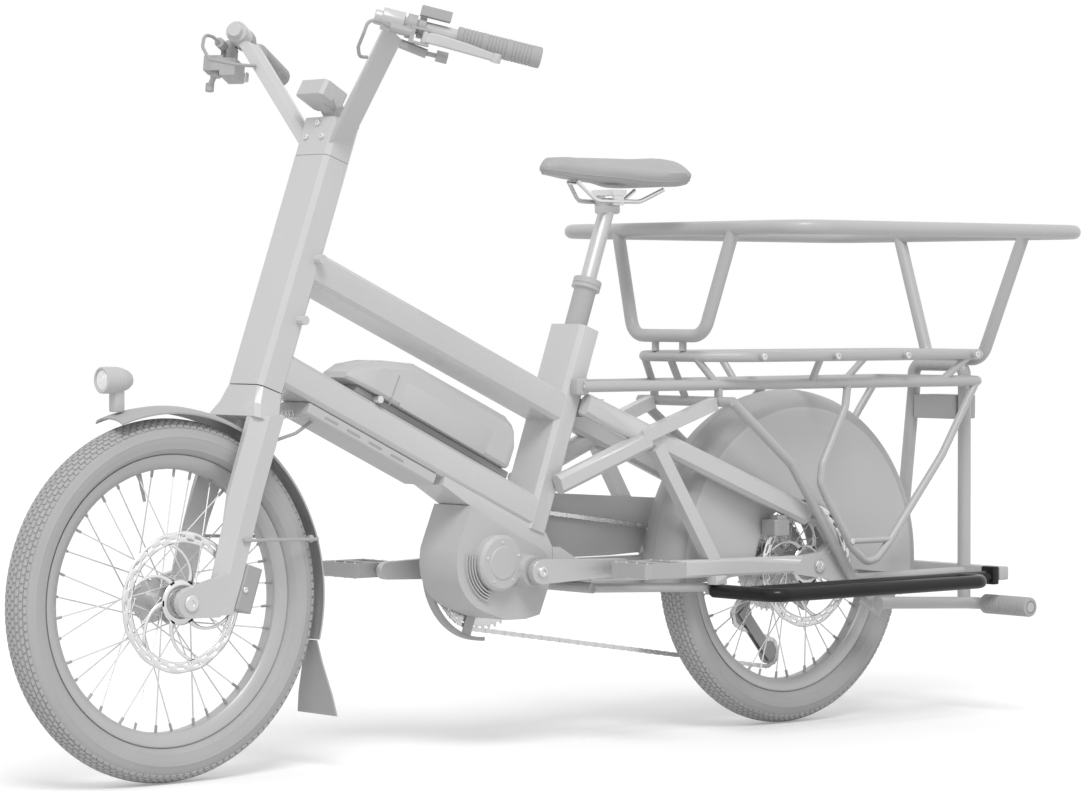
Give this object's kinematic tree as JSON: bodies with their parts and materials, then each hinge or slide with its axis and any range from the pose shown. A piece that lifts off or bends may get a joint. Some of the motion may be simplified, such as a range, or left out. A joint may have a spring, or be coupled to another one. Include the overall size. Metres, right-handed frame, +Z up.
{
  "type": "electric bicycle",
  "caption": "Compact long-tail electric bicycle with centre motor, removable battery, fork steering, sliding seat post, double stand, rear carrier and passenger ring.",
  "frame": {"origin": "centre of the bounding box in plan, on the ground plane that both tyres touch", "axes": "-X to the front wheel, -Y to the rider's left, +Z up"},
  "size_m": [1.9238, 0.645, 1.1087],
  "materials": {
    "frame_paint": "satin pale grey paint",
    "carrier_paint": "satin mid grey paint",
    "board_paint": "semi-gloss black paint",
    "grey_plastic": "matte moulded plastic",
    "light_plastic": "smooth moulded plastic",
    "soft_rubber": "matte rubber",
    "tyre_rubber": "matte tread rubber",
    "saddle_cover": "fine-grained covering",
    "bright_steel": "satin steel",
    "alloy": "satin anodised"
  },
  "bodies": {
    "frame": {"main_frame": "frame_paint", "rear_frame": "frame_paint", "rack_frame": "carrier_paint", "rear_hoop": "carrier_paint", "safety_ring": "carrier_paint", "foot_board_left": "board_paint", "motor_case": "grey_plastic", "cable_cover": "grey_plastic", "chain_guard": "grey_plastic", "chain": "bright_steel", "derailleur_body": "grey_plastic", "derailleur_cage": "grey_plastic", "wheel_cover_left": "grey_plastic", "wheel_cover_right": "grey_plastic", "chain_cover": "grey_plastic", "rear_light": "light_plastic", "battery_rail": "grey_plastic", "rear_axle": "bright_steel", "rear_caliper": "bright_steel"},
    "steering": {"fork": "frame_paint", "headset_bearing_lower": "bright_steel", "headset_bearing_upper": "bright_steel", "front_axle": "bright_steel", "handlebar": "frame_paint", "grip_left": "soft_rubber", "grip_right": "soft_rubber", "brake_body_left": "grey_plastic", "brake_body_right": "grey_plastic", "remote_control": "grey_plastic", "display": "grey_plastic", "brake_hose_left": "soft_rubber", "brake_hose_right": "soft_rubber", "front_fender": "grey_plastic", "mud_flap": "soft_rubber", "headlight": "light_plastic", "front_caliper": "bright_steel"},
    "front_wheel": {"front_tyre": "tyre_rubber", "front_rim": "alloy", "front_hub": "alloy", "front_brake_disc": "bright_steel"},
    "rear_wheel": {"rear_tyre": "tyre_rubber", "rear_rim": "alloy", "rear_hub": "alloy", "rear_brake_disc": "bright_steel"},
    "cranks": {"crank_left": "alloy", "crank_right": "alloy", "chainring": "bright_steel"},
    "cassette": {"cassette": "bright_steel"},
    "pedal_left": {"pedal_left": "grey_plastic"},
    "pedal_right": {"pedal_right": "grey_plastic"},
    "outer_post": {"seat_post_outer": "carrier_paint"},
    "inner_post": {"seat_post_inner": "alloy"},
    "saddle": {"saddle": "saddle_cover", "saddle_rails": "bright_steel"},
    "stand": {"kickstand": "carrier_paint"},
    "battery": {"battery": "grey_plastic"},
    "battery_lock": {"battery_lock": "bright_steel"},
    "brake_lever_left": {"brake_lever_left": "alloy"},
    "brake_lever_right": {"brake_lever_right": "alloy"},
    "shift_lever": {"shift_lever": "grey_plastic"}
  },
  "joints": [
    {"name": "steering_turn", "type": "hinge", "parent": "frame", "child": "steering", "pos_m": [-0.5392, 0, 0.55919], "axis": [0.3387, 0, 0.9409], "range_deg": [-60, 60]},
    {"name": "front_wheel_spin", "type": "hinge", "parent": "steering", "child": "front_wheel", "pos_m": [-0.70186, 0, 0.26], "axis": [0, 1, 0], "continuous": true},
    {"name": "rear_wheel_spin", "type": "hinge", "parent": "frame", "child": "rear_wheel", "pos_m": [0.52774, 0, 0.26], "axis": [0, 1, 0], "continuous": true},
    {"name": "crank_spin", "type": "hinge", "parent": "frame", "child": "cranks", "pos_m": [-0.06786, 0, 0.277], "axis": [0, 1, 0], "continuous": true},
    {"name": "cassette_spin", "type": "hinge", "parent": "frame", "child": "cassette", "pos_m": [0.52774, 0, 0.26], "axis": [0, 1, 0], "continuous": true},
    {"name": "pedal_left_spin", "type": "hinge", "parent": "cranks", "child": "pedal_left", "pos_m": [0.09714, -0.1, 0.277], "axis": [0, 1, 0], "continuous": true},
    {"name": "pedal_right_spin", "type": "hinge", "parent": "cranks", "child": "pedal_right", "pos_m": [-0.23286, 0.1, 0.277], "axis": [0, 1, 0], "continuous": true},
    {"name": "outer_post_slide", "type": "slide", "parent": "frame", "child": "outer_post", "axis": [0.3354, 0, 0.9421], "range_m": [-0.054, 0.06]},
    {"name": "inner_post_slide", "type": "slide", "parent": "outer_post", "child": "inner_post", "axis": [0.3354, 0, 0.9421], "range_m": [-0.06, 0.07]},
    {"name": "saddle_tilt", "type": "hinge", "parent": "inner_post", "child": "saddle", "pos_m": [0.14695, 0, 0.84327], "axis": [0, 1, 0], "range_deg": [-8, 8]},
    {"name": "stand_fold", "type": "hinge", "parent": "frame", "child": "stand", "pos_m": [0.05814, 0, 0.245], "axis": [0, 1, 0], "range_deg": [0, 100]},
    {"name": "battery_swing", "type": "hinge", "parent": "frame", "child": "battery", "pos_m": [-0.10444, -0.02, 0.43709], "axis": [0.4231, 0, 0.9061], "range_deg": [0, 15]},
    {"name": "battery_lock_turn", "type": "hinge", "parent": "frame", "child": "battery_lock", "pos_m": [-0.34367, -0.0303, 0.54164], "axis": [0, 1, 0], "range_deg": [0, 90]},
    {"name": "brake_pull_left", "type": "hinge", "parent": "steering", "child": "brake_lever_left", "pos_m": [-0.41537, -0.2364, 1.06137], "axis": [0.1917, -0.1397, 0.9715], "range_deg": [0, 8], "stiffness_Nm_per_rad": 1.5, "springref_deg": -11.46},
    {"name": "brake_pull_right", "type": "hinge", "parent": "steering", "child": "brake_lever_right", "pos_m": [-0.41537, 0.2364, 1.06137], "axis": [-0.1917, -0.1397, -0.9715], "range_deg": [0, 8], "stiffness_Nm_per_rad": 1.5, "springref_deg": -11.46},
    {"name": "shift_lever_push", "type": "hinge", "parent": "steering", "child": "shift_lever", "pos_m": [-0.44819, 0.22313, 1.03033], "axis": [0.1917, 0.1397, 0.9715], "range_deg": [0, 8], "stiffness_Nm_per_rad": 0.3, "springref_deg": -11.46}
  ],
  "couplings": [
    {"joint": "cassette_spin", "follows": "crank_spin", "ratio": 2.9466}
  ]
}
